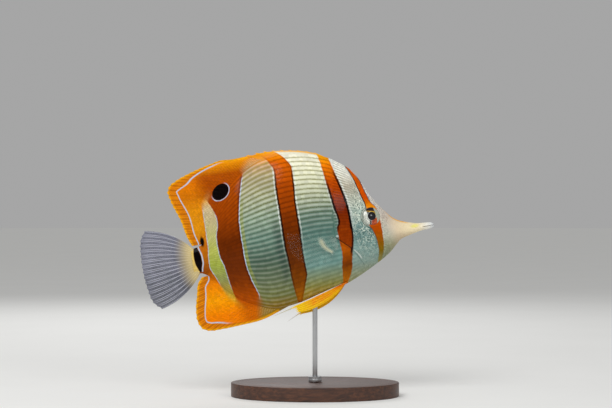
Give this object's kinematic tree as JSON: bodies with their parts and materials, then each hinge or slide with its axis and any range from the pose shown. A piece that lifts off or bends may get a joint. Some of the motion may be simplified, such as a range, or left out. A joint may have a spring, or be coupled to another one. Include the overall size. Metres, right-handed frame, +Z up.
{
  "type": "butterflyfish model on a display stand",
  "caption": "Still, life-size model of a copperband butterflyfish with spread fins, held by a short rod over an oval base.",
  "frame": {"origin": "centre of the bounding box at floor level, under the middle of the fish's length", "axes": "+X towards the snout, +Y towards the fish's left side, +Z up"},
  "size_m": [0.1469, 0.056, 0.1231],
  "materials": {
    "scaled_flesh": "satin, banded orange and pearl",
    "snout_skin": "satin, pale cream",
    "eye": "clear gloss over a black pupil and an orange and silver iris",
    "orange_fin": "satin orange with a pale blue line",
    "tail_membrane": "translucent grey with pale rays",
    "clear_fin": "nearly clear",
    "yellow_fin": "satin yellow with a white leading edge",
    "stand_wood": "dark, oiled",
    "stand_steel": "brushed"
  },
  "bodies": {
    "root": {"head": "scaled_flesh", "gill_cover_right": "scaled_flesh", "gill_cover_left": "scaled_flesh", "trunk": "scaled_flesh", "tail_stalk": "scaled_flesh", "snout": "snout_skin", "jaw_upper": "snout_skin", "jaw_lower": "snout_skin", "eye_right": "eye", "eye_left": "eye", "dorsal_fin_spines": "orange_fin", "dorsal_fin_soft": "orange_fin", "anal_fin": "orange_fin", "tail_fin": "tail_membrane", "pectoral_fin_right": "clear_fin", "pectoral_fin_left": "clear_fin", "pelvic_fin_right": "yellow_fin", "pelvic_fin_left": "yellow_fin", "stand_base": "stand_wood", "stand_rod": "stand_steel", "stand_collar": "stand_steel"}
  },
  "joints": []
}
